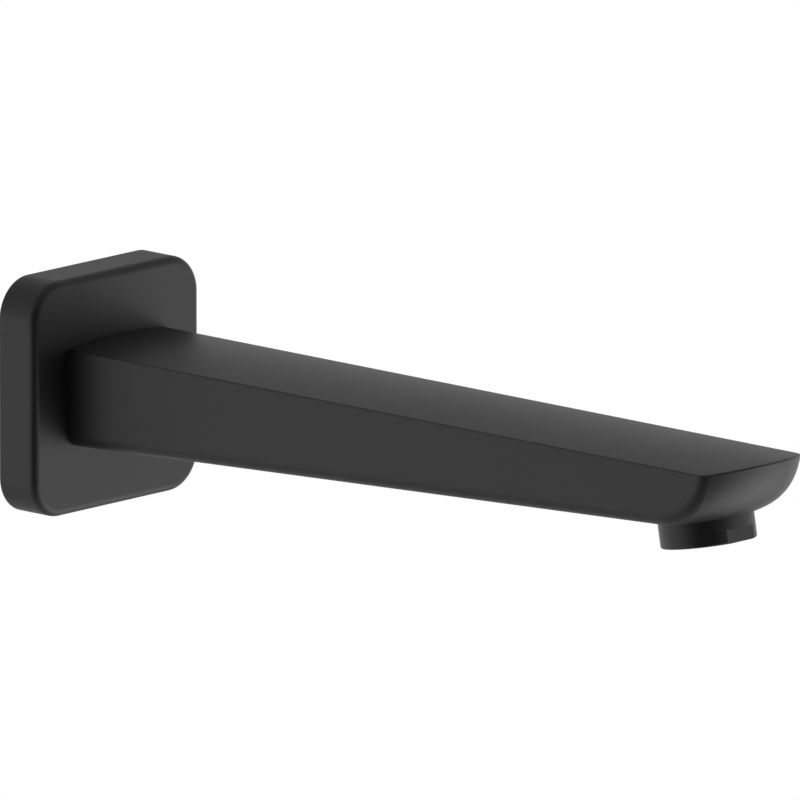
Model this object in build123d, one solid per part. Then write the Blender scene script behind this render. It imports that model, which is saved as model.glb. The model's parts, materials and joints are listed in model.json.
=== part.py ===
from build123d import *
import math
import os

# Wall spout: a cast arm on a square wall flange, pushed onto a nipple and held by a grub screw,
# with a tilted aerator under its nose. Millimetres. The origin is where the inlet axis meets the
# wall, the arm reaches out along -Y, and +Z is up.

# Wall flange and its foam gasket
FLANGE_SIDE = 60.0
FLANGE_DEPTH = 12.0
FLANGE_CORNER_R = 10.0
FLANGE_EDGE_R = 2.0
FLANGE_WALL = 3.5
FLANGE_FACE = 2.5
GASKET_WIDTH = 2.2
GASKET_THICKNESS = 1.5

# Outside of the arm
ARM_WIDTH = 36.0
ARM_PROJECTION = 233.3
ARM_TOP = 12.4
TOP_CROWN = 1.4
ARM_BOTTOM = 12.7
UNDERSIDE_RISE = 2.88
ARM_EDGE_R = 3.5
TOP_EDGE_R = 0.4
NOSE_R = 18.0
NOSE_BOW_R = 29.0
NOSE_SECTIONS = 9

# Tenon behind the arm, which locates the flange
TENON_WIDTH = 28.0
TENON_HEIGHT = 20.0
TENON_LENGTH = 5.0
TENON_CORNER_R = 4.0

# Waterway
ARM_WALL = 3.0
WATERWAY_R = 2.0
SOCKET_DEPTH = 26.0
SOCKET_CHAMFER = 0.8

# Inlet nipple with its G1/2 thread, and the two seals on its spigot
THREAD_D = 20.955
THREAD_LENGTH = 15.0
THREAD_CHAMFER = 1.2
NIPPLE_BORE = 11.5
HEX_FLATS = 24.0
HEX_LENGTH = 5.5
HEX_GAP = 1.0
HEX_CHAMFER = 0.6
SPIGOT_D = 16.0
SPIGOT_CHAMFER = 1.0
SPIGOT_END_GAP = 2.0
SEAL_GROOVE_D = 13.6
SEAL_GROOVE_WIDTH = 2.6
FRONT_SEAL_SETBACK = 4.0
SEAL_SPACING = 5.0

# Grub screw, M5, and the groove that it locks into
SCREW_D = 5.0
SCREW_LENGTH = 5.0
SCREW_POINT_D = 3.5
SCREW_KEY = 2.5
SCREW_KEY_DEPTH = 2.4
SCREW_CHAMFER = 0.4
LOCK_GROOVE_D = 13.6
LOCK_GROOVE_WIDTH = 6.0
LOCK_LAND = 1.7

# Aerator, M24 x 1, measured up its axis from the rim
OUTLET_SETBACK = 21.8
OUTLET_TILT = 10.0
HOUSING_D = 24.0
HOUSING_FLATS = 22.0
FLAT_HEIGHT = 3.5
RIM_CHAMFER = 0.3
COLLAR_SHOW = 6.65
COLLAR_LENGTH = 9.0
HOUSING_THREAD_D = 23.35
HOUSING_THREAD_LENGTH = 4.4
HOUSING_BORE = 21.2
LIP_BORE = 19.2
LIP_HEIGHT = 1.2
GRID_RECESS = 0.5
GRID_HEIGHT = 2.0
GRID_RIM = 0.7
CELL_FLATS = 1.7
CELL_WEB = 0.35
CELL_RINGS = 4
SLEEVE_HEIGHT = 6.4
SLEEVE_WALL = 1.25
AIR_WINDOWS = 8
AIR_WINDOW_WIDTH = 3.0
AIR_WINDOW_HEIGHT = 2.0
JET_PLATE_HEIGHT = 2.0
JET_D = 1.2
INNER_JETS = 8
INNER_JET_CIRCLE = 9.0
OUTER_JETS = 14
OUTER_JET_CIRCLE = 14.6
STRAINER_DOME_D = 17.0
STRAINER_DOME_RISE = 2.2
STRAINER_WALL = 0.9
STRAINER_SLOTS = 12
STRAINER_SLOT_WIDTH = 0.9
STRAINER_SLOT_INNER = 5.0
STRAINER_SLOT_OUTER = 14.0
WASHER_BORE = 18.0
WASHER_THICKNESS = 1.6
SEAT_BORE = 18.6
SEAT_THICKNESS = 1.6
OUTLET_WALL = 2.6

# Clearances on each side
SLIDING = 0.05
FITTED = 0.15
TOUCH = 0.02

# Places that follow from the sizes
ARM_HALF = ARM_WIDTH / 2
CREST = ARM_TOP + TOP_CROWN
CEILING = ARM_TOP - ARM_WALL
ENVELOPE_HEIGHT = ARM_BOTTOM + CREST + ARM_EDGE_R
TENON_END = FLANGE_DEPTH - TENON_LENGTH
HEX_FRONT = TENON_END - HEX_GAP
HEX_BACK = HEX_FRONT - HEX_LENGTH
SOCKET_REACH = FLANGE_DEPTH + SOCKET_DEPTH
SPIGOT_END = SOCKET_REACH - SPIGOT_END_GAP
SOCKET_D = SPIGOT_D + 2 * SLIDING
FRONT_SEAL_OUT = SPIGOT_END - FRONT_SEAL_SETBACK
REAR_SEAL_OUT = FRONT_SEAL_OUT - SEAL_SPACING
SCREW_OUT = REAR_SEAL_OUT - SEAL_GROOVE_WIDTH / 2 - LOCK_LAND - LOCK_GROOVE_WIDTH / 2
INSERT_D = HOUSING_BORE - 2 * FITTED
BORE_D = HOUSING_THREAD_D + 2 * SLIDING
HOUSING_TOP = COLLAR_LENGTH + HOUSING_THREAD_LENGTH
GRID_TOP = LIP_HEIGHT + GRID_HEIGHT
SLEEVE_TOP = GRID_TOP + SLEEVE_HEIGHT
JET_PLATE_TOP = SLEEVE_TOP + JET_PLATE_HEIGHT
SEAT = HOUSING_TOP + WASHER_THICKNESS
SEAT_TOP = SEAT + SEAT_THICKNESS

# The underside is a plane that rises away from the wall
RISE = math.radians(UNDERSIDE_RISE)
ALONG_UNDERSIDE = Vector(0, -math.cos(RISE), math.sin(RISE))
OFF_UNDERSIDE = Vector(0, math.sin(RISE), math.cos(RISE))
UNDERSIDE_START = Vector(0, -FLANGE_DEPTH, -ARM_BOTTOM)

# The aerator's axis leaves the underside behind the nose and leans out on its way down
TILT = math.radians(OUTLET_TILT)
UP_THE_OUTLET = Vector(0, math.sin(TILT), math.cos(TILT))
OUTLET_OUT = ARM_PROJECTION - OUTLET_SETBACK
OUTLET_LEVEL = -ARM_BOTTOM + (OUTLET_OUT - FLANGE_DEPTH) * math.tan(RISE)
RIM_CENTRE = Vector(0, -OUTLET_OUT, OUTLET_LEVEL) - UP_THE_OUTLET * COLLAR_SHOW
RIM_PLANE = Plane(origin=RIM_CENTRE, x_dir=(1, 0, 0), z_dir=UP_THE_OUTLET)


def out_disc(start, end, diameter):
    """Round bar on the inlet axis, between two distances from the wall."""
    return extrude(Plane.XZ.offset(start) * Circle(diameter / 2), amount=end - start)


def outlet_disc(start, end, diameter):
    """Round bar on the aerator's axis, between two heights above its rim."""
    return extrude(RIM_PLANE.offset(start) * Circle(diameter / 2), amount=end - start)


def rounded_block(start, end, width, height, corner):
    """Block with rounded corners on the inlet axis, between two distances from the wall."""
    outline = RectangleRounded(width, height, corner)
    return extrude(Plane.XZ.offset(start) * outline, amount=end - start)


def from_underside(along, off):
    """Point of the side view, along the underside and square off it."""
    return UNDERSIDE_START + ALONG_UNDERSIDE * along + OFF_UNDERSIDE * off


def side_view(points, half_width):
    """Closed outline of the side view, carried across the arm by half a width each way."""
    outline = make_face(Polyline(*points, close=True))
    return extrude(outline, amount=half_width, dir=(1, 0, 0), both=True)


def nose_section(across):
    """Side view of the arm at a distance from its middle, set back by the bow of the nose.

    The nose is an arc from the underside up to the crest, and goes straight on above it.
    """
    crest = Vector(0, -ARM_PROJECTION, CREST) - UNDERSIDE_START
    crest_along = crest.dot(ALONG_UNDERSIDE)
    crest_off = crest.dot(OFF_UNDERSIDE)
    arc_along = crest_along - math.sqrt(crest_off * (2 * NOSE_R - crest_off))
    half_turn = math.acos(1 - crest_off / NOSE_R) / 2
    middle_along = arc_along + NOSE_R * math.sin(half_turn)
    middle_off = NOSE_R * (1 - math.cos(half_turn))
    lean = (NOSE_R - crest_off) / (crest_along - arc_along)
    top_along = crest_along + lean * (ENVELOPE_HEIGHT - crest_off)

    nose = ThreePointArc(
        from_underside(arc_along, 0),
        from_underside(middle_along, middle_off),
        from_underside(crest_along, crest_off),
    )
    rest = Polyline(
        nose @ 1,
        from_underside(top_along, ENVELOPE_HEIGHT),
        from_underside(-ARM_WIDTH, ENVELOPE_HEIGHT),
        from_underside(-ARM_WIDTH, 0),
        nose @ 0,
    )
    set_back = NOSE_BOW_R - math.sqrt(NOSE_BOW_R**2 - across**2)
    return Pos(across, 0, 0) * Pos(ALONG_UNDERSIDE * -set_back) * make_face(nose + rest)


def arm_outside():
    """Arm before it is bored: a slab trimmed by the underside, the bowed nose and the crowned top."""
    slab = extrude(
        Plane.XZ.offset(FLANGE_DEPTH) * Rectangle(ARM_WIDTH, 4 * ENVELOPE_HEIGHT), amount=ARM_PROJECTION
    )
    reach = ARM_HALF + ARM_EDGE_R
    step = 2 * reach / (NOSE_SECTIONS - 1)
    arm = slab & loft([nose_section(-reach + step * i) for i in range(NOSE_SECTIONS)])

    def runs_below(edge):
        off = (edge.center() - UNDERSIDE_START).dot(OFF_UNDERSIDE)
        return edge.center().Y < -FLANGE_DEPTH - TOUCH and off < ENVELOPE_HEIGHT - TOUCH

    arm = fillet(arm.faces().filter_by(Axis.X).edges().filter_by(runs_below), ARM_EDGE_R)
    crown_r = (ARM_HALF**2 + TOP_CROWN**2) / (2 * TOP_CROWN)
    crown = Plane.XZ.offset(FLANGE_DEPTH) * Pos(0, CREST - crown_r) * Circle(crown_r)
    arm = arm & extrude(crown, amount=ARM_PROJECTION)
    top_edges = arm.faces().sort_by(Axis.Z)[-1].edges()
    return fillet(top_edges.filter_by(lambda edge: edge.center().Y < -FLANGE_DEPTH - TOUCH), TOP_EDGE_R)


def up_to_plane(start, point, normal):
    """Where a line from a start, parallel to the aerator's axis, meets a plane."""
    reach = (point - start).dot(normal) / UP_THE_OUTLET.dot(normal)
    return start + UP_THE_OUTLET * reach


def up_to_ceiling(start):
    """Where a line from a start, parallel to the aerator's axis, meets the top of the waterway."""
    return up_to_plane(start, Vector(0, 0, CEILING), Vector(0, 0, 1))


def waterway():
    """Duct along the arm, and the shallow passage from it over the aerator's seat."""
    floor_start = from_underside(0, ARM_WALL)
    rear_along = (floor_start.Y + SOCKET_REACH) / math.cos(RISE)
    end_wall = RIM_PLANE.from_local_coords(Vector(0, BORE_D / 2 + OUTLET_WALL, 0))
    duct = side_view(
        [
            from_underside(rear_along, ARM_WALL),
            up_to_plane(end_wall, floor_start, OFF_UNDERSIDE),
            up_to_ceiling(end_wall),
            Vector(0, -SOCKET_REACH, CEILING),
        ],
        ARM_HALF - ARM_WALL,
    )
    long_edges = duct.edges().filter_by(lambda edge: edge.length > ARM_WIDTH)
    duct = fillet(long_edges, WATERWAY_R)

    seat_middle = RIM_PLANE.from_local_coords(Vector(0, 0, SEAT_TOP))
    seat_back = RIM_PLANE.from_local_coords(Vector(0, BORE_D / 2 + 2 * OUTLET_WALL, SEAT_TOP))
    passage = side_view(
        [seat_back, seat_middle, up_to_ceiling(seat_middle), up_to_ceiling(seat_back)],
        SEAT_BORE / 2,
    )
    return duct + passage


def outlet_bore():
    """Stepped hole up the aerator's axis: collar recess, thread, and the opening in the seat."""
    recess = outlet_disc(-COLLAR_SHOW, COLLAR_LENGTH + FITTED, HOUSING_D + 2 * FITTED)
    thread = outlet_disc(0, SEAT, BORE_D)
    above_seat = (CEILING - RIM_CENTRE.Z) / math.cos(TILT)
    opening = outlet_disc(0, above_seat, SEAT_BORE)
    return recess + thread + opening


def spout_body():
    """Cast arm with its tenon, socket, waterway, outlet bore and grub screw hole."""
    tenon = rounded_block(TENON_END, FLANGE_DEPTH + ARM_WALL, TENON_WIDTH, TENON_HEIGHT, TENON_CORNER_R)
    socket = out_disc(TENON_END, SOCKET_REACH, SOCKET_D)
    mouth_d = SOCKET_D + 2 * SOCKET_CHAMFER
    mouth = Plane.XZ.offset(TENON_END) * Circle(mouth_d / 2)
    lead_in = loft([mouth, Plane.XZ.offset(TENON_END + SOCKET_CHAMFER) * Circle(SOCKET_D / 2)])
    screw_hole = extrude(
        Pos(0, -SCREW_OUT, 0) * Circle(SCREW_D / 2 + SLIDING), amount=-(ARM_BOTTOM + ARM_EDGE_R)
    )
    return arm_outside() + tenon - socket - lead_in - screw_hole - waterway() - outlet_bore()


def wall_flange():
    """Square cover, hollow behind, with an opening for the tenon and a rebate for the gasket."""
    plate = rounded_block(0, FLANGE_DEPTH, FLANGE_SIDE, FLANGE_SIDE, FLANGE_CORNER_R)
    front_edges = plate.faces().sort_by(Axis.Y)[0].edges()
    plate = fillet(front_edges, FLANGE_EDGE_R)
    hollow_side = FLANGE_SIDE - 2 * FLANGE_WALL
    hollow = rounded_block(
        0, FLANGE_DEPTH - FLANGE_FACE, hollow_side, hollow_side, FLANGE_CORNER_R - FLANGE_WALL
    )
    rebate_side = hollow_side + 2 * GASKET_WIDTH
    rebate_r = FLANGE_CORNER_R - FLANGE_WALL + GASKET_WIDTH
    rebate = rounded_block(0, GASKET_THICKNESS, rebate_side, rebate_side, rebate_r)
    opening = rounded_block(
        0,
        FLANGE_DEPTH,
        TENON_WIDTH + 2 * FITTED,
        TENON_HEIGHT + 2 * FITTED,
        TENON_CORNER_R + FITTED,
    )
    return plate - hollow - rebate - opening


def flange_gasket():
    """Square foam ring in the rebate, level with the back of the flange."""
    inner_side = FLANGE_SIDE - 2 * FLANGE_WALL
    inner_r = FLANGE_CORNER_R - FLANGE_WALL
    width = GASKET_WIDTH - FITTED
    outer_side = inner_side + 2 * width
    outer = rounded_block(0, GASKET_THICKNESS, outer_side, outer_side, inner_r + width)
    return outer - rounded_block(0, GASKET_THICKNESS, inner_side, inner_side, inner_r)


def groove(centre, width, diameter):
    """Ring to cut from the spigot so that a groove of this diameter is left."""
    start = centre - width / 2
    end = centre + width / 2
    return out_disc(start, end, 2 * SPIGOT_D) - out_disc(start, end, diameter)


def inlet_nipple():
    """Turned nipple: wall thread, hexagon, and a spigot with two seal grooves and a lock groove."""
    thread = out_disc(-THREAD_LENGTH, HEX_BACK, THREAD_D)
    thread = chamfer(thread.edges().sort_by(Axis.Y)[-1], THREAD_CHAMFER)
    hexagon = extrude(
        Plane.XZ.offset(HEX_BACK) * RegularPolygon(HEX_FLATS / 2, 6, major_radius=False),
        amount=HEX_LENGTH,
    )
    turned = out_disc(HEX_BACK, HEX_FRONT, HEX_FLATS / math.cos(math.pi / 6))
    turned = chamfer(turned.edges().sort_by(Axis.Y)[0], HEX_CHAMFER)
    spigot = out_disc(HEX_FRONT, SPIGOT_END, SPIGOT_D)
    spigot = chamfer(spigot.edges().sort_by(Axis.Y)[0], SPIGOT_CHAMFER)
    nipple = thread + (hexagon & turned) + spigot
    nipple -= groove(SCREW_OUT, LOCK_GROOVE_WIDTH, LOCK_GROOVE_D)
    for centre in (FRONT_SEAL_OUT, REAR_SEAL_OUT):
        nipple -= groove(centre, SEAL_GROOVE_WIDTH, SEAL_GROOVE_D)
    return nipple - out_disc(-THREAD_LENGTH, SPIGOT_END, NIPPLE_BORE)


def o_ring(centre):
    """Seal squeezed between the bottom of its groove and the socket."""
    room = (SOCKET_D - SEAL_GROOVE_D) / 2
    section = Circle(room / 2 - TOUCH)
    ring_r = (SOCKET_D + SEAL_GROOVE_D) / 4
    return Pos(0, -centre, 0) * revolve(Plane.XY * Pos(ring_r, 0) * section, axis=Axis.Y)


def grub_screw():
    """Socket set screw with a flat point, seated in the lock groove."""
    tip = -LOCK_GROOVE_D / 2 - TOUCH
    foot = tip - SCREW_LENGTH
    base = Plane(origin=(0, -SCREW_OUT, foot))
    screw = extrude(base * Circle(SCREW_D / 2), amount=SCREW_LENGTH)
    ends = screw.edges().filter_by(GeomType.CIRCLE).sort_by(Axis.Z)
    screw = chamfer(ends[0], SCREW_CHAMFER)
    point = screw.edges().filter_by(GeomType.CIRCLE).sort_by(Axis.Z)[-1]
    screw = chamfer(point, (SCREW_D - SCREW_POINT_D) / 2)
    key = extrude(base * RegularPolygon(SCREW_KEY / 2, 6, major_radius=False), amount=SCREW_KEY_DEPTH)
    return screw - key


def aerator_housing():
    """Turned sleeve with a collar, two spanner flats, a thread and a lip that holds the insert."""
    collar = outlet_disc(0, COLLAR_LENGTH, HOUSING_D)
    collar = chamfer(collar.edges().filter_by(GeomType.CIRCLE).sort_by(Axis.Z)[0], RIM_CHAMFER)
    flats = extrude(RIM_PLANE * Rectangle(2 * HOUSING_D, HOUSING_FLATS), amount=FLAT_HEIGHT)
    collar = collar & (flats + outlet_disc(FLAT_HEIGHT, COLLAR_LENGTH, 2 * HOUSING_D))
    thread = outlet_disc(COLLAR_LENGTH, HOUSING_TOP, HOUSING_THREAD_D)
    inside = outlet_disc(LIP_HEIGHT, HOUSING_TOP, HOUSING_BORE) + outlet_disc(0, LIP_HEIGHT, LIP_BORE)
    return collar + thread - inside


def honeycomb(start, end, clear_d):
    """Six-sided cells in rings round the aerator's axis, whole ones only, inside a clear circle."""
    pitch = CELL_FLATS + CELL_WEB
    row_rise = pitch * math.sin(math.pi / 3)
    corner_r = CELL_FLATS / 2 / math.cos(math.pi / 6)
    places = []
    for row in range(-CELL_RINGS, CELL_RINGS + 1):
        in_row = 2 * CELL_RINGS + 1 - abs(row)
        for column in range(in_row):
            place = Vector((column - (in_row - 1) / 2) * pitch, row * row_rise)
            if place.length + corner_r <= clear_d / 2:
                places.append(place)
    cell = RegularPolygon(CELL_FLATS / 2, 6, major_radius=False, rotation=30)
    cells = Sketch() + [Pos(place) * cell for place in places]
    return extrude(RIM_PLANE.offset(start) * cells, amount=end - start)


def outlet_grid():
    """Honeycomb disc on the lip, with a boss that fills the mouth."""
    boss_d = LIP_BORE - 2 * FITTED
    disc = outlet_disc(LIP_HEIGHT, GRID_TOP, INSERT_D)
    boss = outlet_disc(GRID_RECESS, LIP_HEIGHT, boss_d)
    return disc + boss - honeycomb(GRID_RECESS, GRID_TOP, boss_d - 2 * GRID_RIM)


def mixing_sleeve():
    """Tube that stands on the grid, with air windows under the jet plate."""
    tube = outlet_disc(GRID_TOP, SLEEVE_TOP, INSERT_D)
    tube -= outlet_disc(GRID_TOP, SLEEVE_TOP, INSERT_D - 2 * SLEEVE_WALL)
    slot = Pos(INSERT_D / 2, 0) * Rectangle(INSERT_D / 2, AIR_WINDOW_WIDTH)
    for turn in range(AIR_WINDOWS):
        place = RIM_PLANE.offset(SLEEVE_TOP - AIR_WINDOW_HEIGHT) * Rot(0, 0, turn * 360 / AIR_WINDOWS)
        tube -= extrude(place * slot, amount=AIR_WINDOW_HEIGHT)
    return tube


def jet_plate():
    """Disc on the sleeve with two circles of jets."""
    plate = Sketch() + Circle(INSERT_D / 2)
    for count, circle in ((INNER_JETS, INNER_JET_CIRCLE), (OUTER_JETS, OUTER_JET_CIRCLE)):
        plate -= [place * Circle(JET_D / 2) for place in PolarLocations(circle / 2, count)]
    return extrude(RIM_PLANE.offset(SLEEVE_TOP) * plate, amount=JET_PLATE_HEIGHT)


def dome_cap(diameter, rise):
    """Cap of a ball that stands on the top of the housing."""
    ball_r = ((diameter / 2) ** 2 + rise**2) / (2 * rise)
    ball = RIM_PLANE.offset(HOUSING_TOP + rise - ball_r) * Sphere(ball_r)
    return ball & outlet_disc(HOUSING_TOP, HOUSING_TOP + 2 * rise, 2 * diameter)


def strainer_dome():
    """Rim that closes the insert, with a slotted dome through the washer."""
    rim = outlet_disc(JET_PLATE_TOP, HOUSING_TOP, INSERT_D)
    inner_d = STRAINER_DOME_D - 2 * STRAINER_WALL
    dome = rim + dome_cap(STRAINER_DOME_D, STRAINER_DOME_RISE)
    dome -= outlet_disc(JET_PLATE_TOP, HOUSING_TOP, inner_d)
    dome -= dome_cap(inner_d, STRAINER_DOME_RISE - STRAINER_WALL)
    length = (STRAINER_SLOT_OUTER - STRAINER_SLOT_INNER) / 2
    slot = Pos((STRAINER_SLOT_OUTER + STRAINER_SLOT_INNER) / 4, 0) * Rectangle(length, STRAINER_SLOT_WIDTH)
    for turn in range(STRAINER_SLOTS):
        place = RIM_PLANE.offset(HOUSING_TOP) * Rot(0, 0, turn * 360 / STRAINER_SLOTS)
        dome -= extrude(place * slot, amount=2 * STRAINER_DOME_RISE)
    return dome


def aerator_washer():
    """Flat seal between the top of the housing and the seat in the body."""
    outer_d = BORE_D - 2 * FITTED
    return outlet_disc(HOUSING_TOP, SEAT, outer_d) - outlet_disc(HOUSING_TOP, SEAT, WASHER_BORE)


PIECES = {
    "spout_body": spout_body(),
    "wall_flange": wall_flange(),
    "flange_gasket": flange_gasket(),
    "inlet_nipple": inlet_nipple(),
    "front_o_ring": o_ring(FRONT_SEAL_OUT),
    "rear_o_ring": o_ring(REAR_SEAL_OUT),
    "grub_screw": grub_screw(),
    "aerator_housing": aerator_housing(),
    "aerator_washer": aerator_washer(),
    "strainer_dome": strainer_dome(),
    "jet_plate": jet_plate(),
    "mixing_sleeve": mixing_sleeve(),
    "outlet_grid": outlet_grid(),
}

os.makedirs("parts", exist_ok=True)
for name, piece in PIECES.items():
    export_step(piece, f"parts/{name}.step")
    print(name, round(piece.volume, 1), "mm3")
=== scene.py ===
# %% [markdown]
# # A matt black wall spout
# The spout is a cast brass arm on a square wall flange, with a tilted outlet under its nose. Its
# construction is drawn to size already and comes in as a fixed frame: one object for each real piece,
# in metres, with the wall at Y = 0, the arm reaching out along -Y, and Z up. What is left to do here
# is what the eye sees: the finishes, the cut threads, the honeycomb of the outlet, camera and light.

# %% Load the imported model
import functools
import json
import math

import bmesh
import bpy
from mathutils import Matrix, Vector


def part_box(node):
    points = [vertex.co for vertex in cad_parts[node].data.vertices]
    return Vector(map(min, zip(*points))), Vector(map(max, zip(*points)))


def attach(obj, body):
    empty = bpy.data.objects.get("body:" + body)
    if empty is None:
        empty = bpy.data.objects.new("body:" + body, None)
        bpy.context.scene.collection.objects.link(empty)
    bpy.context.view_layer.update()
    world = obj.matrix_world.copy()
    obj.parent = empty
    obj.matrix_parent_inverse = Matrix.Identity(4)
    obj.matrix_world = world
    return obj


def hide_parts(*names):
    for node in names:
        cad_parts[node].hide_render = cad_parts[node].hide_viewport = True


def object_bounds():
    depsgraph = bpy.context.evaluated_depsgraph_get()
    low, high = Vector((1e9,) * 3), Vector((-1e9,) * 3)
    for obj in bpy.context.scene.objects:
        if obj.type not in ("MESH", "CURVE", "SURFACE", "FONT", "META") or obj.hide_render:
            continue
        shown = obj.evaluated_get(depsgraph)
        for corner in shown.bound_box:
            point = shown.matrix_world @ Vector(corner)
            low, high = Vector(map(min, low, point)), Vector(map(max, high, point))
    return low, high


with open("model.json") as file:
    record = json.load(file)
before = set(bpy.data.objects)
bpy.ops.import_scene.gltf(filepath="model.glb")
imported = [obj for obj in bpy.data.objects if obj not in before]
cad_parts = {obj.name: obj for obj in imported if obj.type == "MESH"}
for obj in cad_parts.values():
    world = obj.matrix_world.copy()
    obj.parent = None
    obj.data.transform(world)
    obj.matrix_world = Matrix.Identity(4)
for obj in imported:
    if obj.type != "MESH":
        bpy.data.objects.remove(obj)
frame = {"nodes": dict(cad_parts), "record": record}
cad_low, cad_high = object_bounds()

MM = 0.001
nodes = frame["nodes"]
print("pieces in the frame:", ", ".join(sorted(nodes)))
print("box in mm:", [round(value / MM, 1) for value in cad_high - cad_low])

# %% [markdown]
# ## Tools for the finishes
# A finish is a small graph of nodes. Colours are given as sRGB hex values, but a shader calculates
# in linear light, so one function converts them. Another adds a node, makes its settings and joins its
# inputs in one go. Patterns are placed by Object coordinates: every piece sits at the origin with its
# place in its mesh, so those coordinates are metres in the spout's own frame, and a pattern's scale
# follows from its real size. All finishes are joined up alike: one pattern drives the tone, which is
# colour and roughness together, and one drives the relief.

# %% Colours, nodes and scales
PRINCIPLED = "ShaderNodeBsdfPrincipled"
MATERIAL_END = "ShaderNodeOutputMaterial"
COORDINATES = "ShaderNodeTexCoord"
NOISE = "ShaderNodeTexNoise"
MIX = "ShaderNodeMix"
MAP_RANGE = "ShaderNodeMapRange"
BUMP = "ShaderNodeBump"
MIX_FACTOR, MIX_FROM, MIX_TO, MIX_COLOUR = 0, 6, 7, 2


def linear(hex_colour):
    """Linear RGBA of an sRGB hex colour."""
    channels = [int(hex_colour[i : i + 2], 16) / 255 for i in (1, 3, 5)]
    straight = [c / 12.92 if c <= 0.04045 else ((c + 0.055) / 1.055) ** 2.4 for c in channels]
    return (*straight, 1.0)


def add_node(tree, kind, inputs=(), **settings):
    """Adds a node, makes its settings, and fills its inputs with values or other nodes' outputs."""
    node = tree.nodes.new(kind)
    for name, value in settings.items():
        setattr(node, name, value)
    pairs = inputs.items() if isinstance(inputs, dict) else enumerate(inputs)
    for socket, value in pairs:
        if isinstance(value, bpy.types.Node):
            value = value.outputs[0]
        if isinstance(value, bpy.types.NodeSocket):
            tree.links.new(value, node.inputs[socket])
        else:
            node.inputs[socket].default_value = value
    return node


def per_metre(size_mm):
    """Texture scale at which one feature of a pattern is about this large."""
    return 1 / (size_mm * MM)


def new_material(name):
    """Empty material, and the way to add nodes to it."""
    material = bpy.data.materials.new(name)
    material.use_nodes = True
    material.node_tree.nodes.clear()
    return material, functools.partial(add_node, material.node_tree)


def new_finish(name):
    """Empty material, the way to add nodes to it, and the piece's own coordinates."""
    material, add = new_material(name)
    return material, add, add(COORDINATES).outputs["Object"]


def join_finish(add, tone, colours, roughness, relief, relief_mm, shader):
    """Joins up a finish: tone runs through two colours and roughnesses, relief raises the surface."""
    ends = {MIX_FROM: linear(colours[0]), MIX_TO: linear(colours[1])}
    colour = add(MIX, {MIX_FACTOR: tone, **ends}, data_type="RGBA")
    dullness = add(MAP_RANGE, {"Value": tone, "To Min": roughness[0], "To Max": roughness[1]})
    raised = add(BUMP, {"Height": relief, "Distance": relief_mm * MM})
    varied = {"Base Color": colour.outputs[MIX_COLOUR], "Roughness": dullness, "Normal": raised}
    add(MATERIAL_END, {"Surface": add(PRINCIPLED, {**varied, **shader})})


print("finish tools ready; a 0.5 mm grain has the scale", per_metre(0.5))

# %% [markdown]
# ## Matt black coat
# The arm, the flange and the outlet sleeve are brass, blasted, then sprayed with a matt black lacquer
# and baked. Flatting grit in the lacquer leaves it dull: it has no sharp reflections, but broad soft
# ones from the studio round it, so faces that look towards something bright turn dark grey. The coat
# is a dielectric over a nearly black base. Its colour drifts where it lies thicker, and its grain is
# about 0.1 mm wide. That is too fine to show here, so the grain is drawn three times as coarse.

# %% Coat material
def matt_black_coat():
    """Baked lacquer with flatting grit: even, nearly black, with a broad dull sheen."""
    material, add, place = new_finish("matt_black_lacquer_baked")
    drift = add(NOISE, {"Vector": place, "Scale": per_metre(40), "Detail": 3.0})
    grain = add(NOISE, {"Vector": place, "Scale": per_metre(0.3), "Detail": 2.0})
    join_finish(add, drift, ("#1e1e1f", "#222223"), (0.42, 0.48), grain, 0.006, {"IOR": 1.5})
    return material


coat = matt_black_coat()
for name in ("spout_body", "wall_flange", "aerator_housing"):
    nodes[name].material_slots[0].material = coat
print("coated:", coat.name)

# %% [markdown]
# ## Hidden pieces
# Behind the flange and inside the spout are pieces that only show when it is taken off the wall or
# looked at from below: rubber seals, a foam gasket, and the moulded plastic inside of the aerator.
# Rubber is dark and dull with a slight bloom. Closed-cell foam has pores that its cut face opens, so
# a cell pattern gives its bumps, and the same pattern paints their hollows darker as painted shade.
# Acetal is a milky, slippery plastic with a fine moulded texture.

# %% Rubber, foam and acetal
VORONOI = "ShaderNodeTexVoronoi"
ACETAL_GLOW_MM = 0.6


def nitrile_rubber():
    """Pressed rubber: black, dull, with a faint grey bloom."""
    material, add, place = new_finish("nitrile_rubber_pressed")
    bloom = add(NOISE, {"Vector": place, "Scale": per_metre(2.5), "Detail": 4.0})
    join_finish(add, bloom, ("#121212", "#232323"), (0.5, 0.7), bloom, 0.02, {"IOR": 1.52})
    return material


def closed_cell_foam():
    """Cut foam strip: charcoal, fully dull, open pores about 0.5 mm wide, with painted shade in them."""
    material, add, place = new_finish("closed_cell_foam_cut")
    pore_depth_and_shade = add(VORONOI, {"Vector": place, "Scale": per_metre(0.6)})
    # The pore pattern also paints the foam darker in each pore's hollow: painted shade, not the foam's
    # colour.
    join_finish(add, pore_depth_and_shade, ("#242424", "#3c3c3d"), (0.95, 0.8), pore_depth_and_shade, 0.25, {"IOR": 1.45})
    return material


def acetal_moulded():
    """Moulded acetal: milky grey, slippery, with the fine texture of its mould."""
    material, add, place = new_finish("acetal_moulded")
    flow = add(NOISE, {"Vector": place, "Scale": per_metre(4), "Detail": 2.0})
    texture = add(NOISE, {"Vector": place, "Scale": per_metre(0.2)})
    glow = {"Subsurface Radius": (ACETAL_GLOW_MM * MM,) * 3, "Subsurface Scale": 1.0}
    milky = {"IOR": 1.48, "Subsurface Weight": 0.15, **glow}
    join_finish(add, flow, ("#bdbfc0", "#cdcfcf"), (0.35, 0.45), texture, 0.004, milky)
    return material


rubber = nitrile_rubber()
foam = closed_cell_foam()
acetal = acetal_moulded()
for name in ("front_o_ring", "rear_o_ring", "aerator_washer"):
    nodes[name].material_slots[0].material = rubber
for name in ("strainer_dome", "jet_plate", "mixing_sleeve"):
    nodes[name].material_slots[0].material = acetal
nodes["flange_gasket"].material_slots[0].material = foam
print("finished:", rubber.name, foam.name, acetal.name)

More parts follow.
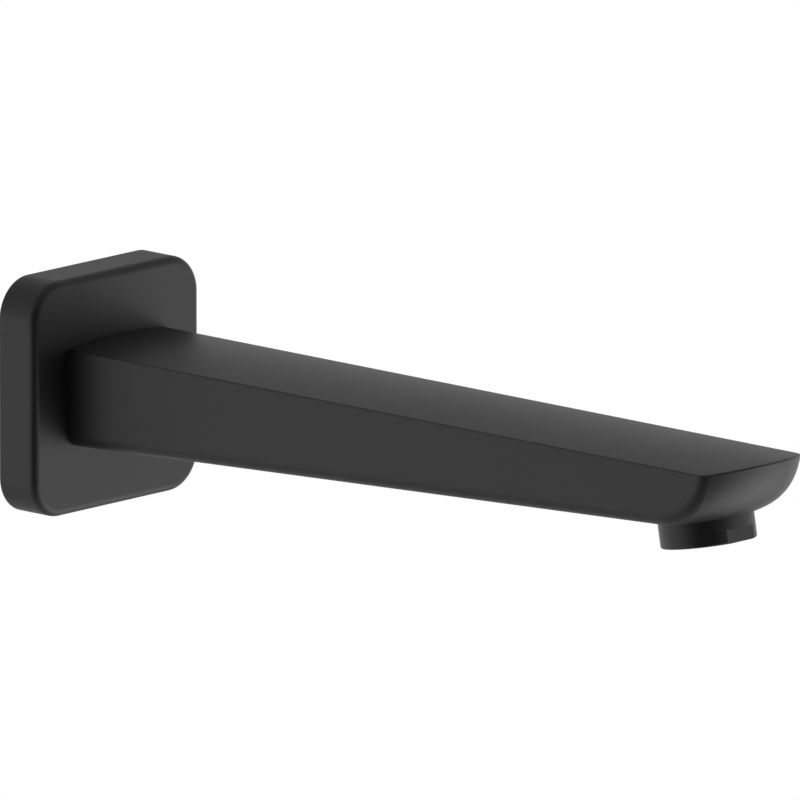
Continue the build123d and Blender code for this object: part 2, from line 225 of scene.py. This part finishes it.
# %% [markdown]
# ## Bare metals
# The nipple is turned from brass bar and the grub screw from stainless steel. A turning tool leaves a
# fine spiral on the work, which stretches highlights across the lathe's axis. Here rings stand for
# that spiral: a wave that runs along the axis, drawn as bump. The nipple's axis is Y and the screw's
# is Z, so one function makes both metals and is told which way the work was turned.

# %% Turned metals
WAVE = "ShaderNodeTexWave"
FEED_MM = 0.12
WAVES_PER_SCALE = 20 / math.tau


def turned_metal(name, axis, colours, roughness):
    """Bare turned metal with rings along its axis and a little tarnish."""
    material, add, place = new_finish(name)
    tarnish = add(NOISE, {"Vector": place, "Scale": per_metre(5), "Detail": 4.0})
    ring_scale = per_metre(FEED_MM) / WAVES_PER_SCALE
    rings = add(WAVE, {"Vector": place, "Scale": ring_scale}, bands_direction=axis).outputs["Fac"]
    join_finish(add, tarnish, colours, roughness, rings, 0.004, {"Metallic": 1.0})
    return material


brass = turned_metal("brass_turned", "Y", ("#bfa267", "#d8bd86"), (0.26, 0.36))
steel = turned_metal("stainless_steel_turned", "Z", ("#8f9092", "#a9aaac"), (0.3, 0.4))
print("turned:", brass.name, steel.name)

# %% [markdown]
# ## Turned blanks
# The nipple and the screw begin as blanks on a lathe. A blank is a stack of rings, each at a height on
# the axis with a rule for its radius at an angle: round for turned parts, six-sided for a hexagon.
# Neighbouring rings are joined by quads. Blanks stand on the Z axis at the origin until they are
# finished, because a thread is easiest to cut there, and are then put in place.

# %% Ring tools
RINGS_PER_PITCH = 16


def round_ring(height, radius):
    """Ring of one radius all round."""
    return height, lambda angle: radius


def hexagon_ring(height, flats, limit=math.inf):
    """Ring with six flats and corners at 0, 60 and so on, turned down to a limit."""

    def radius(angle):
        from_flat = angle % math.radians(60) - math.radians(30)
        return min(limit, flats / 2 / math.cos(from_flat))

    return height, radius


def thread_rings(start, end, radius, pitch):
    """Rings close enough along a cylinder to cut a thread of this pitch into it."""
    count = math.ceil((end - start) / pitch * RINGS_PER_PITCH)
    return [round_ring(start + (end - start) * i / count, radius) for i in range(count + 1)]


def blank_from_rings(name, rings, segments, closed):
    """Object skinned over rings in millimetres: a closed one meets its first ring, others are capped."""
    skin = bmesh.new()
    turns = [math.tau * i / segments for i in range(segments)]
    loops = []
    for height, radius in rings:
        points = [(math.cos(a) * radius(a), math.sin(a) * radius(a), height) for a in turns]
        loops.append([skin.verts.new(Vector(point) * MM) for point in points])
    pairs = list(zip(loops, loops[1:]))
    if closed:
        pairs.append((loops[-1], loops[0]))
    else:
        skin.faces.new(loops[0])
        skin.faces.new(loops[-1])
    for low, high in pairs:
        for i in range(segments):
            skin.faces.new((low[i - 1], low[i], high[i], high[i - 1]))
    bmesh.ops.recalc_face_normals(skin, faces=skin.faces)
    mesh = bpy.data.meshes.new(name)
    skin.to_mesh(mesh)
    skin.free()
    blank = bpy.data.objects.new(name, mesh)
    bpy.context.scene.collection.objects.link(blank)
    return blank


print("ring tools ready")

# %% [markdown]
# ## Node trees on blanks
# Geometry Nodes cut what repeats or follows a rule. Each tree is built here with named inputs for its
# sizes. It is hung on a blank, given its sizes, evaluated once, and its result is kept as a plain
# mesh, so nothing live is left on the piece. The finished mesh is then moved to its place on the spout.

# %% Tree tools
SMOOTH_BELOW = math.radians(35)


def open_tree(name, size_names):
    """Geometry node tree with inputs for a mesh, some sizes and a material, and the way to add nodes."""
    tree = bpy.data.node_groups.new(name, "GeometryNodeTree")
    tree.interface.new_socket("Geometry", in_out="INPUT", socket_type="NodeSocketGeometry")
    for size_name in size_names:
        tree.interface.new_socket(size_name, in_out="INPUT", socket_type="NodeSocketFloat")
    tree.interface.new_socket("Material", in_out="INPUT", socket_type="NodeSocketMaterial")
    tree.interface.new_socket("Geometry", in_out="OUTPUT", socket_type="NodeSocketGeometry")
    add = functools.partial(add_node, tree)
    return tree, add, add("NodeGroupInput").outputs


def close_tree(add, geometry, material):
    """Ends a tree in real geometry with its material."""
    real = add("GeometryNodeRealizeInstances", {"Geometry": geometry})
    finished = add("GeometryNodeSetMaterial", {"Geometry": real, "Material": material})
    add("NodeGroupOutput", (finished,))


def finish_blank(blank, tree, values, place):
    """Runs a tree on a blank, keeps the result as a plain mesh, and puts it in place."""
    modifier = blank.modifiers.new(tree.name, "NODES")
    modifier.node_group = tree
    for item in tree.interface.items_tree:
        if item.in_out == "INPUT" and item.name in values:
            modifier[item.identifier] = values[item.name]
    evaluated = blank.evaluated_get(bpy.context.evaluated_depsgraph_get())
    mesh = bpy.data.meshes.new_from_object(evaluated)
    blank.modifiers.remove(modifier)
    blank.data = mesh
    mesh.name = blank.name
    mesh.transform(place)
    mesh.shade_smooth()
    mesh.set_sharp_from_angle(angle=SMOOTH_BELOW)


def stand_for(piece, node):
    """Lets a finished piece stand for a node of the frame: hides the node and hangs the piece on the
    root.
    """
    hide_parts(node)
    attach(piece, "root")
    print(piece.name, "has", len(piece.data.polygons), "faces")


print("tree tools ready")

# %% [markdown]
# ## A thread cut by rule
# A thread is a groove that climbs one pitch in each turn. It could be swept along a helix and fused
# with the bar, but that leaves faces inside. Here the blank's own skin is moved instead, as a die
# moves the metal: the radius at each point follows from where the point is in the pitch. The groove's
# walls are straight with rounded crests and roots, and it never goes outside the blank, so a chamfer
# stays a chamfer. Where the die stops, the groove runs out over one pitch.

# %% Thread tree
MATH = "ShaderNodeMath"
VECTOR_MATH = "ShaderNodeVectorMath"
COMPARE = "FunctionNodeCompare"
POSITION = "GeometryNodeInputPosition"
SEPARATE = "ShaderNodeSeparateXYZ"
COMBINE = "ShaderNodeCombineXYZ"
SET_POSITION = "GeometryNodeSetPosition"
CREST_SHARE = 0.06
SKIN_MARGIN = 1.05
LEAST_RADIUS = 0.01 * MM


def thread_tree():
    """Tree that cuts a right-hand thread along Z into a blank."""
    tree, add, given = open_tree("cut_thread", ["Radius", "Pitch", "Depth", "End", "Run Out"])
    x, y, z = add(SEPARATE, (add(POSITION),)).outputs
    radius = add(VECTOR_MATH, (add(COMBINE, (x, y)),), operation="LENGTH").outputs["Value"]

    turn = add(MATH, (add(MATH, (y, x), operation="ARCTAN2"), math.tau), operation="DIVIDE")
    climb = add(MATH, (z, given["Pitch"]), operation="DIVIDE")
    behind = add(MATH, (climb, turn), operation="SUBTRACT")
    phase = add(MATH, (behind, 1.0), operation="FLOORED_MODULO")
    swing = add(MATH, (phase, 2.0, -1.0), operation="MULTIPLY_ADD")
    from_root = add(MATH, (swing,), operation="ABSOLUTE")
    walls = {"From Min": CREST_SHARE, "From Max": 1 - CREST_SHARE, "To Min": 1.0, "To Max": 0.0}
    groove = add(MAP_RANGE, {"Value": from_root, **walls}, interpolation_type="SMOOTHSTEP")

    die_stop = add(MATH, (given["End"], given["Run Out"]), operation="SUBTRACT")
    run_out = {"From Min": die_stop, "From Max": given["End"], "To Min": 1.0, "To Max": 0.0}
    depth = add(MATH, (add(MAP_RANGE, {"Value": z, **run_out}), given["Depth"]), operation="MULTIPLY")
    cut = add(MATH, (groove, depth), operation="MULTIPLY")
    floor = add(MATH, (given["Radius"], cut), operation="SUBTRACT")
    cut_radius = add(MATH, (radius, floor), operation="MINIMUM")
    whole_radius = add(MATH, (radius, LEAST_RADIUS), operation="MAXIMUM")
    share = add(MATH, (cut_radius, whole_radius), operation="DIVIDE")
    x_cut = add(MATH, (x, share), operation="MULTIPLY")
    y_cut = add(MATH, (y, share), operation="MULTIPLY")

    deepest = add(MATH, (given["Depth"], SKIN_MARGIN), operation="MULTIPLY")
    root = add(MATH, (given["Radius"], deepest), operation="SUBTRACT")
    on_skin = add(COMPARE, (radius, root), operation="GREATER_THAN")
    before_end = add(COMPARE, (z, given["End"]), operation="LESS_THAN")
    threaded = add("FunctionNodeBooleanMath", (on_skin, before_end), operation="AND")
    moved = {"Selection": threaded, "Position": add(COMBINE, (x_cut, y_cut, z))}
    shaped = add(SET_POSITION, {"Geometry": given["Geometry"], **moved})
    close_tree(add, shaped, given["Material"])
    return tree


cut_thread = thread_tree()
print("thread tree:", len(cut_thread.nodes), "nodes")

# %% [markdown]
# ## Inlet nipple
# The nipple screws into the wall with a G1/2 pipe thread, 14 turns to the inch. In front of it is a
# hexagon for the spanner, then a smooth spigot with two grooves for seals and a wide one for the grub
# screw. Heights are distances out from the wall in millimetres, so the thread lies below zero.

# %% Turn the nipple and cut its thread
inlet_mount = next(m for m in frame["record"]["mounts"] if m["name"] == "inlet_thread")
THREAD_R = inlet_mount["dims"]["r_mm"]
THREAD_PITCH = 25.4 / 14
PIPE_DEPTH_SHARE = 0.64
nipple_low, nipple_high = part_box("inlet_nipple")
THREAD_START = -nipple_high.y / MM
SPIGOT_END = -nipple_low.y / MM
HEX_BACK, HEX_FRONT = 0.5, 6.0
HEX_FLATS = (nipple_high.z - nipple_low.z) / MM
HEX_CORNER_R = (nipple_high.x - nipple_low.x) / 2 / MM
SPIGOT_R, BORE_R = 8.0, 5.75
LOCK_GROOVE = (21.0, 6.0, 6.8)
SEAL_GROOVES = ((27.0, 2.6, 6.8), (32.0, 2.6, 6.8))
THREAD_CHAMFER, HEX_CHAMFER, SPIGOT_CHAMFER, EDGE_BREAK = 1.2, 0.6, 1.0, 0.25


def groove_rings(centre, width, radius):
    """Four rings of a groove in the spigot, from back to front."""
    start, end = centre - width / 2, centre + width / 2
    steps = ((start, SPIGOT_R), (start, radius), (end, radius), (end, SPIGOT_R))
    return [round_ring(*step) for step in steps]


nipple_rings = [
    round_ring(THREAD_START, BORE_R + EDGE_BREAK),
    round_ring(THREAD_START, THREAD_R - THREAD_CHAMFER),
    *thread_rings(THREAD_START + THREAD_CHAMFER, HEX_BACK, THREAD_R, THREAD_PITCH),
    hexagon_ring(HEX_BACK, HEX_FLATS, HEX_CORNER_R - EDGE_BREAK),
    hexagon_ring(HEX_BACK + EDGE_BREAK, HEX_FLATS),
    hexagon_ring(HEX_FRONT - HEX_CHAMFER, HEX_FLATS),
    hexagon_ring(HEX_FRONT, HEX_FLATS, HEX_CORNER_R - HEX_CHAMFER),
    round_ring(HEX_FRONT, SPIGOT_R),
    *[ring for groove in (LOCK_GROOVE, *SEAL_GROOVES) for ring in groove_rings(*groove)],
    round_ring(SPIGOT_END - SPIGOT_CHAMFER, SPIGOT_R),
    round_ring(SPIGOT_END, SPIGOT_R - SPIGOT_CHAMFER),
    round_ring(SPIGOT_END, BORE_R + EDGE_BREAK),
    round_ring(SPIGOT_END - EDGE_BREAK, BORE_R),
    round_ring(THREAD_START + EDGE_BREAK, BORE_R),
]
nipple = blank_from_rings("inlet_nipple_threaded", nipple_rings, segments=144, closed=True)
thread_sizes = {
    "Radius": THREAD_R * MM,
    "Pitch": THREAD_PITCH * MM,
    "Depth": PIPE_DEPTH_SHARE * THREAD_PITCH * MM,
    "End": HEX_BACK * MM,
    "Run Out": THREAD_PITCH * MM,
    "Material": brass,
}
OUT_FROM_WALL = Matrix.Rotation(math.radians(90), 4, "X")
finish_blank(nipple, cut_thread, thread_sizes, OUT_FROM_WALL)
stand_for(nipple, "inlet_nipple")

# %% [markdown]
# ## Grub screw
# A headless M5 screw comes up from below and locks the arm on the nipple. From below only its face
# shows, with the socket for a hexagon key. It is turned and threaded in the same way as the nipple.

# %% Turn the screw and cut its thread
screw_low, screw_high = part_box("grub_screw")
SCREW_R = (screw_high.x - screw_low.x) / 2 / MM
SCREW_LENGTH = (screw_high.z - screw_low.z) / MM
SCREW_PITCH = 0.8
METRIC_DEPTH_SHARE = 0.61
KEY_FLATS, KEY_DEPTH = 2.5, 2.4
POINT_R, SCREW_CHAMFER = 1.75, 0.4
screw_rings = [
    hexagon_ring(KEY_DEPTH, KEY_FLATS),
    hexagon_ring(0.0, KEY_FLATS),
    round_ring(0.0, SCREW_R - SCREW_CHAMFER),
    *thread_rings(SCREW_CHAMFER, SCREW_LENGTH - (SCREW_R - POINT_R), SCREW_R, SCREW_PITCH),
    round_ring(SCREW_LENGTH, POINT_R),
]
screw = blank_from_rings("grub_screw_threaded", screw_rings, segments=72, closed=False)
screw_sizes = {
    "Radius": SCREW_R * MM,
    "Pitch": SCREW_PITCH * MM,
    "Depth": METRIC_DEPTH_SHARE * SCREW_PITCH * MM,
    "End": SCREW_LENGTH * MM,
    "Run Out": SCREW_PITCH * MM,
    "Material": steel,
}
screw_middle = (screw_low + screw_high) / 2
UP_INTO_ARM = Matrix.Translation((screw_middle.x, screw_middle.y, screw_low.z))
finish_blank(screw, cut_thread, screw_sizes, UP_INTO_ARM)
stand_for(screw, "grub_screw")

# %% [markdown]
# ## Honeycomb of the outlet
# The water leaves through a moulded disc of six-sided cells, which straightens the stream. Cells sit
# on a triangular lattice, and only where a whole one fits. In Geometry Nodes the lattice is a grid of
# points with every second row shifted by half a step; a cutter stands on each point that lies far
# enough inside, and all the cutters are taken out of the disc at once. The cutters flare at both
# ends, so each cell has the small chamfer at its mouth that catches the light on a moulded part.

# %% Honeycomb tree
LATTICE_POINTS = 13
CUTTER_OVERSHOOT = 0.02 * MM
END_SHARE = 0.3
SIDES = 6


def honeycomb_tree():
    """Tree that cuts six-sided cells right through a disc on the Z axis."""
    size_names = ["Across Flats", "Web", "Clear Radius", "Middle", "Height", "Flare"]
    tree, add, given = open_tree("cut_honeycomb", size_names)
    x, y, z = add(SEPARATE, (add(POSITION),)).outputs
    pitch = add(MATH, (given["Across Flats"], given["Web"]), operation="ADD")
    row_rise = add(MATH, (pitch, math.sin(math.radians(60))), operation="MULTIPLY")
    corner = add(MATH, (given["Across Flats"], 2 * math.cos(math.pi / SIDES)), operation="DIVIDE")

    width = add(MATH, (pitch, LATTICE_POINTS - 1), operation="MULTIPLY")
    length = add(MATH, (row_rise, LATTICE_POINTS - 1), operation="MULTIPLY")
    lattice = add("GeometryNodeMeshGrid", (width, length, LATTICE_POINTS, LATTICE_POINTS))
    row = add(MATH, (add(MATH, (y, row_rise), operation="DIVIDE"),), operation="ROUND")
    odd = add(MATH, (row, 2.0), operation="FLOORED_MODULO")
    half_pitch = add(MATH, (pitch, 2.0), operation="DIVIDE")
    half_step = add(MATH, (odd, half_pitch), operation="MULTIPLY")
    shift = add(COMBINE, {"X": half_step, "Z": given["Middle"]})
    shifted = add(SET_POSITION, {"Geometry": lattice, "Offset": shift})
    out = add(VECTOR_MATH, (add(COMBINE, (x, y)),), operation="LENGTH").outputs["Value"]
    reach = add(MATH, (out, corner), operation="ADD")
    too_far = add(COMPARE, (reach, given["Clear Radius"]), operation="GREATER_THAN")
    whole_cells = add("GeometryNodeDeleteGeometry", {"Geometry": shifted, "Selection": too_far})

    depth = add(MATH, (given["Height"], 2 * CUTTER_OVERSHOOT), operation="ADD")
    prism_sizes = {"Vertices": SIDES, "Side Segments": 3, "Radius": corner, "Depth": depth}
    prism = add("GeometryNodeMeshCylinder", prism_sizes)
    from_middle = add(MATH, (z,), operation="ABSOLUTE")
    end_zone = add(MATH, (depth, END_SHARE), operation="MULTIPLY")
    at_end = add(COMPARE, (from_middle, end_zone), operation="GREATER_THAN")
    wider = add(MATH, (given["Flare"], corner), operation="DIVIDE")
    x_end = add(MATH, (x, wider, x), operation="MULTIPLY_ADD")
    y_end = add(MATH, (y, wider, y), operation="MULTIPLY_ADD")
    mouth = {"Selection": at_end, "Position": add(COMBINE, (x_end, y_end, z))}
    flared = add(SET_POSITION, {"Geometry": prism, **mouth})
    neck = add(MATH, (add(MATH, (depth, 2.0), operation="DIVIDE"), given["Flare"]), operation="SUBTRACT")
    z_neck = add(MATH, (add(MATH, (z,), operation="SIGN"), neck), operation="MULTIPLY")
    between = add("FunctionNodeBooleanMath", (at_end,), operation="NOT")
    throat = {"Selection": between, "Position": add(COMBINE, (x, y, z_neck))}
    cutter = add(SET_POSITION, {"Geometry": flared, **throat})

    turned = {"Instance": cutter, "Rotation": (0.0, 0.0, math.pi / SIDES)}
    cells = add("GeometryNodeInstanceOnPoints", {"Points": whole_cells, **turned})
    cutters = add("GeometryNodeRealizeInstances", {"Geometry": cells})
    operands = {"Mesh 1": given["Geometry"], "Mesh 2": cutters}
    cut = add("GeometryNodeMeshBoolean", operands, operation="DIFFERENCE", solver="EXACT")
    close_tree(add, cut, given["Material"])
    return tree


cut_honeycomb = honeycomb_tree()
print("honeycomb tree:", len(cut_honeycomb.nodes), "nodes")

# %% [markdown]
# ## Outlet disc
# The disc is moulded with a boss that fills the mouth of the sleeve and a wider rim that rests inside.
# It leans with the outlet, so its sizes are read in a frame that leans too.

# %% Cut the outlet disc
OUTLET_TILT = math.radians(10)
LEAN = Matrix.Rotation(-OUTLET_TILT, 4, "X")
BOSS_R = 9.45
BOSS_HEIGHT = 0.7
BOSS_RIM = 0.7
CELL_FLATS, CELL_WEB, CELL_FLARE = 1.7, 0.35, 0.1
MOULD_EDGE = 0.12


def along_outlet(name):
    """Lowest and highest corner of a piece in the outlet's own leaning frame."""
    points = [LEAN.inverted() @ vertex.co for vertex in nodes[name].data.vertices]
    low_point = Vector([min(point[i] for point in points) for i in range(3)])
    high_point = Vector([max(point[i] for point in points) for i in range(3)])
    return low_point, high_point


housing_low, housing_high = along_outlet("aerator_housing")
grid_low, grid_high = along_outlet("outlet_grid")
rim_centre = Vector((0, (housing_low.y + housing_high.y) / 2, grid_low.z))
DISC_R = (grid_high.x - grid_low.x) / 2 / MM
GRID_HEIGHT = (grid_high.z - grid_low.z) / MM
grid_rings = [
    round_ring(0.0, BOSS_R - MOULD_EDGE),
    round_ring(MOULD_EDGE, BOSS_R),
    round_ring(BOSS_HEIGHT, BOSS_R),
    round_ring(BOSS_HEIGHT, DISC_R),
    round_ring(GRID_HEIGHT - MOULD_EDGE, DISC_R),
    round_ring(GRID_HEIGHT, DISC_R - MOULD_EDGE),
]
grid = blank_from_rings("outlet_honeycomb", grid_rings, segments=96, closed=False)
grid_sizes = {
    "Across Flats": CELL_FLATS * MM,
    "Web": CELL_WEB * MM,
    "Clear Radius": (BOSS_R - BOSS_RIM) * MM,
    "Middle": GRID_HEIGHT / 2 * MM,
    "Height": GRID_HEIGHT * MM,
    "Flare": CELL_FLARE * MM,
    "Material": acetal,
}
finish_blank(grid, cut_honeycomb, grid_sizes, LEAN @ Matrix.Translation(rim_centre))
stand_for(grid, "outlet_grid")

# %% [markdown]
# ## Camera
# The photograph has no vanishing points: lines that are parallel on the spout stay parallel in it. A
# lens as long as this one comes within a few pixels of that, and still lets the view be turned. The
# camera stands at the photograph's angle, and the point that it looks at follows from where the inlet's
# axis meets the wall in the photograph.

# %% Place the camera
AZIMUTH = math.radians(-46.9)
ELEVATION = math.radians(12.33)
PICTURE_PX = 800
PX_PER_MM = 4.037
WALL_POINT_PX = (80.0, 379.7)
LENS_MM = 1650
SENSOR_MM = 36
MID_DEPTH_MM = 77
CLIP_FACTOR = 10


def towards(azimuth, elevation):
    """Direction from the spout: azimuth 0 is out from the wall, and positive angles are to the right."""
    level = math.cos(elevation)
    return Vector((math.sin(azimuth) * level, -math.cos(azimuth) * level, math.sin(elevation)))


to_camera = towards(AZIMUTH, ELEVATION)
picture_right = Vector((math.cos(AZIMUTH), math.sin(AZIMUTH), 0))
picture_up = to_camera.cross(picture_right)
right_mm = (PICTURE_PX / 2 - WALL_POINT_PX[0]) / PX_PER_MM
up_mm = (WALL_POINT_PX[1] - PICTURE_PX / 2) / PX_PER_MM
aim = (picture_right * right_mm + picture_up * up_mm + to_camera * MID_DEPTH_MM) * MM
distance = PICTURE_PX / PX_PER_MM * MM * LENS_MM / SENSOR_MM
scene = bpy.context.scene
camera_data = bpy.data.cameras.new("camera")
camera_data.lens = LENS_MM
camera_data.sensor_width = SENSOR_MM
camera_data.clip_start = distance / CLIP_FACTOR
camera_data.clip_end = distance * CLIP_FACTOR
camera = bpy.data.objects.new("camera", camera_data)
camera.location = aim + to_camera * distance
camera.rotation_euler = to_camera.to_track_quat("Z", "Y").to_euler()
scene.collection.objects.link(camera)
scene.camera = camera
print("camera stands", round(distance, 2), "m away")

# %% [markdown]
# ## Studio
# Black lacquer is lit by what it reflects, so the studio matters more than its brightness. The spout
# stands in a white surround. A grey ceiling dims what its top reflects, and a dark curtain on the
# camera's side turns the edges that face the camera nearly black. One softbox, low on the right,
# brightens the nose. A pale floor lies well below. The ceiling, curtain and softbox would hide the view,
# so the camera sees through them, while the light on the spout meets them as it would in a room.

# %% White surround
world = bpy.data.worlds.new("studio")
world.use_nodes = True
world.node_tree.nodes.clear()
white = {"Color": linear("#ffffff"), "Strength": 1.0}
surround = add_node(world.node_tree, "ShaderNodeBackground", white)
add_node(world.node_tree, "ShaderNodeOutputWorld", {"Surface": surround})
scene.world = world
scene.view_settings.view_transform = "Standard"
print("surround is white")

# %% [markdown]
# ## Paint and cloth of the studio
# The ceiling and the curtain are plain matt surfaces. The softbox glows at its front only. The floor is
# matt, so that it keeps shadows, and is lifted a little where it is looked at or mirrored. That glow is
# too faint to count as a lamp, so it isn't sampled as one. From below the floor is clear, so that the
# spout can be looked at from there.

# %% Studio materials
DIFFUSE = "ShaderNodeBsdfDiffuse"
EMISSION = "ShaderNodeEmission"
GEOMETRY = "ShaderNodeNewGeometry"
SOFTBOX_LEVEL = 2.2
FLOOR_GLOW = 0.1


def panel_paint(name, hex_colour):
    """Plain matt cloth or paint of a studio panel."""
    material, add = new_material(name)
    add(MATERIAL_END, {"Surface": add(DIFFUSE, {"Color": linear(hex_colour)})})
    return material


def softbox_cloth():
    """Glowing diffuser cloth of the softbox, dark on its back."""
    material, add = new_material("softbox_cloth")
    backfacing = add(GEOMETRY).outputs["Backfacing"]
    front = add(MATH, (1.0, backfacing), operation="SUBTRACT")
    level = add(MATH, (front, SOFTBOX_LEVEL), operation="MULTIPLY")
    add(MATERIAL_END, {"Surface": add(EMISSION, {"Strength": level})})
    return material


def floor_paint():
    """Matt pale floor: keeps shadows, is lifted where seen or mirrored, and is clear from below."""
    material, add = new_material("floor_paint_white")
    path = add("ShaderNodeLightPath").outputs
    mirrored = add(MATH, (path["Is Glossy Ray"], path["Is Transmission Ray"]), operation="MAXIMUM")
    seen = add(MATH, (path["Is Camera Ray"], mirrored), operation="MAXIMUM")
    glow = add(EMISSION, {"Strength": add(MATH, (seen, FLOOR_GLOW), operation="MULTIPLY")})
    top = add("ShaderNodeAddShader", (add(DIFFUSE, {"Color": linear("#f2f2f2")}), glow))
    backfacing = add(GEOMETRY).outputs["Backfacing"]
    sides = add("ShaderNodeMixShader", (backfacing, top, add("ShaderNodeBsdfTransparent")))
    add(MATERIAL_END, {"Surface": sides})
    material.cycles.emission_sampling = "NONE"
    return material


black_cloth = panel_paint("curtain_cloth_black", "#464646")
grey_paint = panel_paint("ceiling_paint_grey", "#cccccc")
glowing_cloth = softbox_cloth()
white_paint = floor_paint()
print("studio materials:", black_cloth.name, grey_paint.name, glowing_cloth.name, white_paint.name)

# %% [markdown]
# ## Panels and floor
# Each panel is a disc, placed by the direction in which it stands from the spout and by how far away it
# is, in metres, and turned to face the spout. How large it looks from there decides how much of the
# reflections it fills: the ceiling nearly all that is above, the curtain over a third of the front.

# %% Place the panels
CEILING_HEIGHT, CEILING_R = 1.0, 13.0
CURTAIN_DISTANCE, CURTAIN_R = 1.6, 1.9
SOFTBOX_DISTANCE, SOFTBOX_R = 0.95, 0.46
SOFTBOX_AZIMUTH = math.radians(43)
SOFTBOX_ELEVATION = math.radians(-41.8)
FLOOR_DEPTH, FLOOR_R = 1.1, 2.2
DISC_SIDES = 64
UP = Vector((0, 0, 1))


def stage_disc(name, away_from, direction, away, radius, material):
    """Round panel of the studio, which isn't part of the spout, turned to face a point."""
    turns = [math.tau * i / DISC_SIDES for i in range(DISC_SIDES)]
    rim = [(radius * math.cos(turn), radius * math.sin(turn), 0.0) for turn in turns]
    mesh = bpy.data.meshes.new(name)
    mesh.from_pydata(rim, [], [range(DISC_SIDES)])
    mesh.materials.append(material)
    disc = bpy.data.objects.new(name, mesh)
    facing = (-direction).to_track_quat("Z", "Y").to_matrix().to_4x4()
    disc.matrix_world = Matrix.Translation(away_from + direction * away) @ facing
    scene.collection.objects.link(disc)
    return disc


middle = (cad_low + cad_high) / 2
to_softbox = towards(SOFTBOX_AZIMUTH, SOFTBOX_ELEVATION)
ceiling = stage_disc("ceiling", middle, UP, CEILING_HEIGHT, CEILING_R, grey_paint)
curtain = stage_disc("curtain", aim, to_camera, CURTAIN_DISTANCE, CURTAIN_R, black_cloth)
softbox = stage_disc("softbox", middle, to_softbox, SOFTBOX_DISTANCE, SOFTBOX_R, glowing_cloth)
floor = stage_disc("floor", middle, -UP, FLOOR_DEPTH, FLOOR_R, white_paint)
for panel in (ceiling, curtain, softbox):
    panel.visible_camera = False
print("studio stands:", ceiling.name, curtain.name, softbox.name, floor.name)
